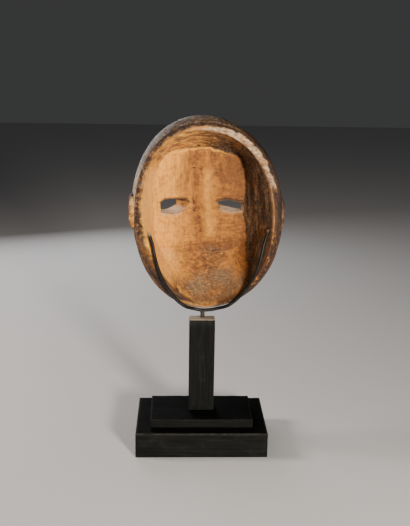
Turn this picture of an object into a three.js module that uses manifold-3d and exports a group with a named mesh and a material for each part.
// A carved wooden face mask in the Ngbaka manner, standing on its display stand.
// The mask is one carving, hollow behind, held by its chin and inner walls in a bent rod
// cradle. The cradle's stem stands on a square post, on a base of two slabs.
// Units are millimetres, +Z is up, the face looks towards -Y, and the origin is the
// centre of the base's underside.
import * as THREE from 'three';
import { mergeVertices } from 'three/addons/utils/BufferGeometryUtils.js';
import Module from 'manifold-3d';

// Stand
const baseWidth = 186;
const baseDepth = 123;
const lowerSlabHeight = 36.4;
const slabMargin = 19.9;
const upperSlabHeight = 12.3;
const footFilletHeight = 1.8;
const footFilletReach = 1;
const arris = 0.8;
const postWidth = 36.5;
const postDepth = 20.2;
const postHeight = 138.5;
const restGap = 0.3;

// Cradle
const rodRadius = 2.4;
const rodSides = 8;
const stemRadius = 3.1;
const stemSides = 12;
const armPoints = 31;
const armSteps = 44;
const minusTipAngle = 192;
const plusTipAngle = 345;

// Mask, in its own frame: x to the viewer's right, z up, depth forwards from the rim
const maskPlace = new THREE.Vector3(0, 13.6, 330);
const maskTurn = 5;
const maskLean = 5;
const hollowDepth = 60;
const widestDepth = 26;
const faceDepth = 84;
const faceAxis = -4;

// An outline is a superellipse whose four half-axes differ, because the carving is lopsided.
// Its top tips towards +x by "lean" degrees.
function outline(x, z, plusX, minusX, up, down, upPower, downPower, lean) {
  return { x, z, plusX, minusX, up, down, upPower, downPower, lean: toRadians(lean) };
}
const toRadians = THREE.MathUtils.degToRad;
const rimInner = outline(4, 11.7, 79, 100.2, 113, 138, 2.06, 2.06, 8.8);
const rimOuter = outline(-0.5, 4.3, 93.5, 107.2, 127.6, 133, 2.13, 2.01, 5.1);
const widest = outline(-1.8, 5.1, 99, 110.9, 134.6, 138, 2.03, 2.28, 5.1);
const hollowBed = outline(-1, 0, 65, 65.5, 90.5, 62, 3.7, 5, 0);
const cradleLine = outline(-6, 3.4, 78.4, 82.3, 60, 136.2, 2, 2.1, 0);

const mix = THREE.MathUtils.lerp;
const clamp = THREE.MathUtils.clamp;
const wasm = await Module();
wasm.setup();

function smoothStep(from, to, value) {
  const t = clamp((value - from) / (to - from), 0, 1);
  return t * t * (3 - 2 * t);
}

function outlinePoint(line, angle) {
  const c = Math.cos(angle);
  const s = Math.sin(angle);
  const across = c >= 0 ? line.plusX : line.minusX;
  const along = s >= 0 ? line.up : line.down;
  const power = s >= 0 ? line.upPower : line.downPower;
  const reach = (Math.abs(c / across) ** power + Math.abs(s / along) ** power) ** (-1 / power);
  return {
    x: line.x + reach * Math.cos(angle - line.lean),
    z: line.z + reach * Math.sin(angle - line.lean),
  };
}

// Closed solids through manifold, for joining and cutting
function toSolid(geometry) {
  geometry.deleteAttribute('normal');
  geometry.deleteAttribute('uv');
  const merged = mergeVertices(geometry, 1e-4);
  return new wasm.Manifold(new wasm.Mesh({
    numProp: 3,
    vertProperties: Float32Array.from(merged.attributes.position.array),
    triVerts: Uint32Array.from(merged.index.array),
  }));
}

function toGeometry(solid) {
  const mesh = solid.getMesh();
  const geometry = new THREE.BufferGeometry();
  geometry.setAttribute('position', new THREE.BufferAttribute(mesh.vertProperties, 3));
  geometry.setIndex(new THREE.BufferAttribute(mesh.triVerts, 1));
  return geometry;
}

function fromLists(points, triangles) {
  const geometry = new THREE.BufferGeometry();
  geometry.setAttribute('position', new THREE.Float32BufferAttribute(points.flat(), 3));
  geometry.setIndex(triangles.flat());
  return geometry;
}

// A square grid drawn out to a disc: place(r, angle) puts each node, r being 1 on the edge.
// The open side is closed flat, at the depth of the edge carried back by capReach.
function cappedSheet(columns, rows, bunching, place, capReach) {
  const points = [];
  const triangles = [];
  const spread = (t) => Math.sign(t) * Math.abs(t) ** bunching;
  for (let j = 0; j <= rows; j++) {
    for (let i = 0; i <= columns; i++) {
      const p = spread(2 * i / columns - 1);
      const q = spread(2 * j / rows - 1);
      const x = p * Math.sqrt(1 - q * q / 2);
      const z = q * Math.sqrt(1 - p * p / 2);
      points.push(place(Math.min(Math.hypot(x, z), 1), Math.atan2(z, x)));
    }
  }
  const at = (i, j) => j * (columns + 1) + i;
  for (let j = 0; j < rows; j++) {
    for (let i = 0; i < columns; i++) {
      const [a, b, c, d] = [at(i, j), at(i + 1, j), at(i + 1, j + 1), at(i, j + 1)];
      const slopesDown = (i < columns / 2) === (j < rows / 2);
      triangles.push(...(slopesDown ? [[a, b, d], [b, c, d]] : [[a, b, c], [a, c, d]]));
    }
  }
  const loop = [];
  for (let i = 0; i < columns; i++) loop.push(at(i, 0));
  for (let j = 0; j < rows; j++) loop.push(at(columns, j));
  for (let i = columns; i > 0; i--) loop.push(at(i, rows));
  for (let j = rows; j > 0; j--) loop.push(at(0, j));
  const back = loop.map((k) => points.push([points[k][0], capReach, points[k][2]]) - 1);
  const centre = points.push([0, capReach, 0]) - 1;
  loop.forEach((k, n) => {
    const m = (n + 1) % loop.length;
    if (capReach > 0) triangles.push([k, back[n], back[m]], [k, back[m], loop[m]]);
    triangles.push([back[n], centre, back[m]]);
  });
  return toSolid(fromLists(points, triangles));
}

// The face is guessed from masks of its kind. Each form is a height added to the dome: a
// full forehead over a brow line that arches above each eye and dips to the nose, a sunk
// heart-shaped field below it, a long nose that stands out of that field, and pouting lips.
const forehead = { height: 10, z: 72, halfHeight: 44, halfWidth: 62 };
const brow = { z: 22, arch: 10, archAt: 36, archHalf: 58, below: 9, above: 5 };
const browRidge = { height: 3, above: 7, halfHeight: 9, fadeFrom: 60, fadeTo: 92 };
const field = { depth: 9, sideFrom: 54, sideTo: 88, lowFrom: -100, lowTo: -34 };
const nose = { rootZ: 18, rootHalf: 7, tipZ: -45, tipHalf: 14, tipHeight: 27, underside: 7 };
const mouth = { z: -70, halfWidth: 26, halfHeight: 12, height: 8 };
const mouthLine = { halfWidth: 19, halfHeight: 2, depth: 3.5 };
const chin = { setBack: 9, from: -60, to: -125 };

function browHeight(side) {
  return brow.z + brow.arch * Math.cos(Math.PI * clamp((side - brow.archAt) / brow.archHalf, -1, 1));
}

function noseRelief(side, z) {
  const down = clamp((nose.rootZ - z) / (nose.rootZ - nose.tipZ), 0, 1);
  const half = mix(nose.rootHalf, nose.tipHalf, down ** 1.5);
  const ridge = 1 - smoothStep(0.12 * half, 1.1 * half, side);
  const under = smoothStep(nose.tipZ - nose.underside / 2, nose.tipZ + nose.underside / 2, z);
  return mix(field.depth, nose.tipHeight, down) * ridge * under;
}

function faceRelief(x, z) {
  const side = Math.abs(x - faceAxis);
  const line = browHeight(side);
  const belowBrow = 1 - smoothStep(line - brow.below, line + brow.above, z);
  const inField = (1 - smoothStep(field.sideFrom, field.sideTo, side))
    * smoothStep(field.lowFrom, field.lowTo, z);
  const swell = Math.exp(-(((z - forehead.z) / forehead.halfHeight) ** 2)
    - (side / forehead.halfWidth) ** 2);
  const ridge = Math.exp(-(((z - line - browRidge.above) / browRidge.halfHeight) ** 2))
    * (1 - smoothStep(browRidge.fadeFrom, browRidge.fadeTo, side));
  const lipShare = Math.hypot(side / mouth.halfWidth, (z - mouth.z) / mouth.halfHeight);
  return forehead.height * swell + browRidge.height * ridge
    + belowBrow * (noseRelief(side, z) - field.depth * inField)
    + mouth.height * (1 - smoothStep(0.62, 1.12, lipShare))
    - chin.setBack * smoothStep(chin.from, chin.to, z);
}

// The dome is flat in the middle and turns down ever faster towards the widest line. The
// share is 0 at the middle of the face and 1 on that line, where the relief has faded out.
const domePower = 3;
const reliefPower = 8;

function frontDepth(x, z, share) {
  const dome = widestDepth + (faceDepth - widestDepth) * Math.sqrt(1 - share ** domePower);
  return dome + faceRelief(x, z) * (1 - share ** reliefPower);
}

// The outer sheet's last share, sideShare, is the side wall between the widest line and the rim
const sideShare = 0.18;
const edgeCrowding = 1.15;

function outerPoint(r, angle) {
  const wide = outlinePoint(widest, angle + widest.lean);
  if (r > 1 - sideShare) {
    const rim = outlinePoint(rimOuter, angle + rimOuter.lean);
    const t = (r - 1 + sideShare) / sideShare;
    return [mix(wide.x, rim.x, t * t), -widestDepth * (1 - t), mix(wide.z, rim.z, t * t)];
  }
  const share = Math.sin(r / (1 - sideShare) * Math.PI / 2) ** edgeCrowding;
  const x = mix(faceAxis, wide.x, share);
  const z = mix(widest.z, wide.z, share);
  return [x, -frontDepth(x, z, share), z];
}

// Depth of the front at a place on the face, for what is set on it
function depthAt(x, z) {
  const dx = x - widest.x;
  const dz = z - widest.z;
  const edge = outlinePoint(widest, Math.atan2(dz, dx) + widest.lean);
  const share = Math.hypot(dx, dz) / Math.hypot(edge.x - widest.x, edge.z - widest.z);
  return frontDepth(x, z, share);
}

// The hollow has a flat bed and flared walls, steepest at -x and softest at the chin. The
// walls are twisted a little towards the chin at the lower corners, so they meet it evenly.
const bedShare = 0.64;
const cornerTwist = toRadians(14);
const wallPower = { least: 1.15, plusX: 0.3, chin: 0.8 };

function hollowPoint(r, angle) {
  const bed = outlinePoint(hollowBed, angle);
  if (r < bedShare) {
    const k = r / bedShare;
    return [mix(hollowBed.x, bed.x, k), -hollowDepth, mix(hollowBed.z, bed.z, k)];
  }
  const t = (r - bedShare) / (1 - bedShare);
  const twist = cornerTwist * (angle < 0 ? Math.sin(2 * angle) : 0);
  const rim = outlinePoint(rimInner, angle + twist);
  const below = Math.max(-Math.sin(angle), 0);
  const power = wallPower.least + wallPower.plusX * (1 + Math.cos(angle)) / 2 + wallPower.chin * below ** 2;
  return [mix(bed.x, rim.x, t), -hollowDepth * (1 - t ** power), mix(bed.z, rim.z, t)];
}

// A slit is cut by a tapering bar drawn through two six-cornered openings, one on the
// hollow's bed and one slitStep in front of it. Corners go from the inner top along the
// top to the outer side, and back along the bottom.
const slitStep = 14;
const plusSlit = {
  back: [[19, 15.5], [49.5, 15.8], [56.3, 10.8], [55.4, -3.6], [36, -6.2], [16, 8]],
  front: [[32.6, 12.6], [48.7, 12.2], [54.5, 8.1], [55.4, -3], [43, -0.2], [32.2, 3.8]],
};
const minusSlit = {
  back: [[-26.5, 13.2], [-38, 15.6], [-64.9, 10.1], [-64.9, -1.6], [-46, -4], [-28, 3.5]],
  front: [[-29, 8], [-40, 10], [-62.5, 5.4], [-62.9, -3], [-46.4, -0.3], [-33, 2.6]],
};

// Seen from in front, the corners run one way round on one side of the nose and the other
// way on the other side, so one cutter has its triangles turned about.
function slitCutter(slit, turnAbout) {
  const ends = [-8, slitStep, 34];
  const points = ends.flatMap((ahead) => slit.back.map(([x, z], k) => {
    const t = Math.min(ahead / slitStep, 1);
    return [mix(x, slit.front[k][0], t), -hollowDepth - ahead, mix(z, slit.front[k][1], t)];
  }));
  const corners = slit.back.length;
  const lastRing = (ends.length - 1) * corners;
  const triangles = [];
  for (let k = 1; k < corners - 1; k++) {
    triangles.push([0, k, k + 1], [lastRing, lastRing + k + 1, lastRing + k]);
  }
  for (let ring = 0; ring < lastRing; ring += corners) {
    for (let k = 0; k < corners; k++) {
      const a = ring + k;
      const b = ring + (k + 1) % corners;
      triangles.push([a, a + corners, b + corners], [a, b + corners, b]);
    }
  }
  return toSolid(fromLists(points, turnAbout ? triangles.map((t) => t.toReversed()) : triangles));
}

function prism(shape, length) {
  return new THREE.ExtrudeGeometry(shape, { depth: length, bevelEnabled: false, curveSegments: 9 });
}

// A plate across the mask, backDepth in front of the rim
function crossPlate(shape, backDepth, thickness) {
  const geometry = prism(shape, thickness);
  geometry.rotateX(Math.PI / 2);
  geometry.translate(0, -backDepth, 0);
  return toSolid(geometry);
}

function oval(x, z, halfWidth, halfHeight) {
  return new THREE.Shape().absellipse(x, z, halfWidth, halfHeight, 0, 2 * Math.PI);
}

// Ears are low oval lobes on the side walls, hollowed from the side
const earBackDepth = 4;
const earThickness = 28;
const earHalfHeight = 25;
const earRoot = 12;
const earSideLip = 5;
const earEndLip = 8;
const earDish = 4;

// An oval bar through an ear, along x, ending both ways from the place x
function sideBar(x, halfLength, height, halfDepth, halfHeight) {
  const shape = oval(-earBackDepth - earThickness / 2, height, halfDepth, halfHeight);
  const geometry = prism(shape, 2 * halfLength);
  geometry.rotateX(Math.PI / 2);
  geometry.rotateZ(Math.PI / 2);
  geometry.translate(x - halfLength, 0, 0);
  return toSolid(geometry);
}

function ear(reach, height) {
  const root = reach - Math.sign(reach) * earRoot;
  const flap = crossPlate(oval(root, height, earRoot, earHalfHeight), earBackDepth, earThickness);
  const lobe = flap.intersect(sideBar(root, earRoot, height, earThickness / 2, earHalfHeight));
  const dish = sideBar(reach, earDish, height, earThickness / 2 - earSideLip, earHalfHeight - earEndLip);
  return lobe.subtract(dish);
}

// Round knobs in a row up the middle of the forehead
const knobRadius = 3.6;
const knobHeight = 3;
const knobRoot = 9;
const knobStep = 9.5;
const knobCount = 8;
const lowestKnob = 44;

function knob(z) {
  const slope = (depthAt(faceAxis, z + 2) - depthAt(faceAxis, z - 2)) / 4;
  const profile = [[0, -knobRoot], [knobRadius, -knobRoot], [knobRadius, 0],
    [0.7 * knobRadius, 0.75 * knobHeight], [0, knobHeight]];
  const geometry = new THREE.LatheGeometry(profile.map(([r, h]) => new THREE.Vector2(r, h)), 8);
  geometry.rotateX(Math.PI + Math.atan(slope));
  geometry.translate(faceAxis, -depthAt(faceAxis, z), z);
  return toSolid(geometry);
}

function carvedMask() {
  const hollow = cappedSheet(20, 26, 1, hollowPoint, 6);
  const lipLine = oval(faceAxis, mouth.z, mouthLine.halfWidth, mouthLine.halfHeight);
  const mouthCut = crossPlate(lipLine, depthAt(faceAxis, mouth.z) - mouthLine.depth, 20);
  let mask = cappedSheet(46, 56, 1.3, outerPoint, 0).add(ear(103.2, 10)).add(ear(-115.4, 4));
  for (let k = 0; k < knobCount; k++) mask = mask.add(knob(lowestKnob + k * knobStep));
  for (const cut of [hollow, slitCutter(plusSlit, false), slitCutter(minusSlit, true), mouthCut]) {
    mask = mask.subtract(cut);
  }
  return toGeometry(mask);
}

const maskFrame = new THREE.Group();
maskFrame.position.copy(maskPlace);
maskFrame.rotation.set(toRadians(-maskLean), 0, toRadians(maskTurn), 'ZXY');
maskFrame.updateMatrix();

// The cradle's arms follow the rim just inside it: under the chin, back round its edge,
// up behind the rim and, at the tips, forwards and outwards to the inner walls.
const chinAngle = 270;
// The stem stands on the middle of the post, a little to the right of the chin's lowest point.
const stemAngle = 271.8;
const underChinDepth = 3;
const behindRimDepth = -3.3;
const tipDepth = 5.7;
const tipHook = 3;

function armPoint(degrees) {
  const away = Math.abs(degrees - chinAngle);
  const sign = degrees > chinAngle ? 1 : -1;
  const line = outlinePoint(cradleLine, toRadians(degrees));
  const outwards = sign * tipHook * smoothStep(62, 76, away);
  const behind = mix(underChinDepth, behindRimDepth, smoothStep(6, 15, away));
  const depth = mix(behind, tipDepth, smoothStep(sign > 0 ? 54 : 42, 75, away));
  return new THREE.Vector3(line.x + outwards, -depth, line.z).applyMatrix4(maskFrame.matrix);
}

function roundSection(radius, sides) {
  const corners = Array.from({ length: sides }, (_, k) => {
    const angle = 2 * Math.PI * (k + 0.5) / sides;
    return new THREE.Vector2(radius * Math.cos(angle), radius * Math.sin(angle));
  });
  return new THREE.Shape(corners);
}

const postTop = lowerSlabHeight + upperSlabHeight + postHeight;

function rodCradle() {
  const path = Array.from({ length: armPoints }, (_, k) =>
    armPoint(mix(minusTipAngle, plusTipAngle, k / (armPoints - 1))));
  const arms = new THREE.ExtrudeGeometry(roundSection(rodRadius, rodSides), {
    steps: armSteps, bevelEnabled: false, extrudePath: new THREE.CatmullRomCurve3(path) });
  const bend = armPoint(stemAngle);
  const foot = postTop + restGap;
  const stem = new THREE.CylinderGeometry(stemRadius, stemRadius, bend.z - foot, stemSides);
  stem.rotateX(Math.PI / 2);
  stem.translate(bend.x, bend.y, (bend.z + foot) / 2);
  return toGeometry(toSolid(arms).add(toSolid(stem)));
}

// A block whose section grows by the second number of each [height, growth] pair
function mouldedBlock(width, depth, profile) {
  const corners = [[1, 1], [-1, 1], [-1, -1], [1, -1]];
  const points = profile.flatMap(([height, growth]) => corners.map(([sx, sy]) =>
    [sx * (width / 2 + growth), sy * (depth / 2 + growth), height]));
  const top = points.length - 4;
  const triangles = [[0, 2, 1], [0, 3, 2], [top, top + 1, top + 2], [top, top + 2, top + 3]];
  for (let ring = 0; ring < top; ring += 4) {
    for (let k = 0; k < 4; k++) {
      const a = ring + k;
      const b = ring + (k + 1) % 4;
      triangles.push([a, b, b + 4], [a, b + 4, a + 4]);
    }
  }
  return fromLists(points, triangles);
}

function part(name, geometry, look, height = 0) {
  const mesh = new THREE.Mesh(geometry, new THREE.MeshStandardMaterial(look));
  mesh.name = name;
  mesh.position.z = height;
  return mesh;
}

const blackenedWood = { color: 0x1c1a18, roughness: 0.35, metalness: 0 };
const carvedWood = { color: 0xb98550, roughness: 0.7, metalness: 0 };
const darkSteel = { color: 0x3a3a3a, roughness: 0.4, metalness: 0.9 };

const lowerProfile = [[0, -arris], [arris, 0], [lowerSlabHeight - arris, 0], [lowerSlabHeight, -arris]];
const upperProfile = [[0, footFilletReach], [footFilletHeight / 2, footFilletReach],
  [footFilletHeight, 0], [upperSlabHeight - arris, 0], [upperSlabHeight, -arris]];
const postProfile = [[0, 0], [postHeight - arris, 0], [postHeight, -arris]];
const topWidth = baseWidth - 2 * slabMargin;
const topDepth = baseDepth - 2 * slabMargin;

maskFrame.add(part('mask', carvedMask(), carvedWood));

const standingMask = new THREE.Group();
standingMask.add(
  part('lower_slab', mouldedBlock(baseWidth, baseDepth, lowerProfile), blackenedWood),
  part('upper_slab', mouldedBlock(topWidth, topDepth, upperProfile), blackenedWood, lowerSlabHeight),
  part('post', mouldedBlock(postWidth, postDepth, postProfile), blackenedWood,
    lowerSlabHeight + upperSlabHeight),
  part('rod_cradle', rodCradle(), darkSteel),
  maskFrame,
);
export default standingMask;
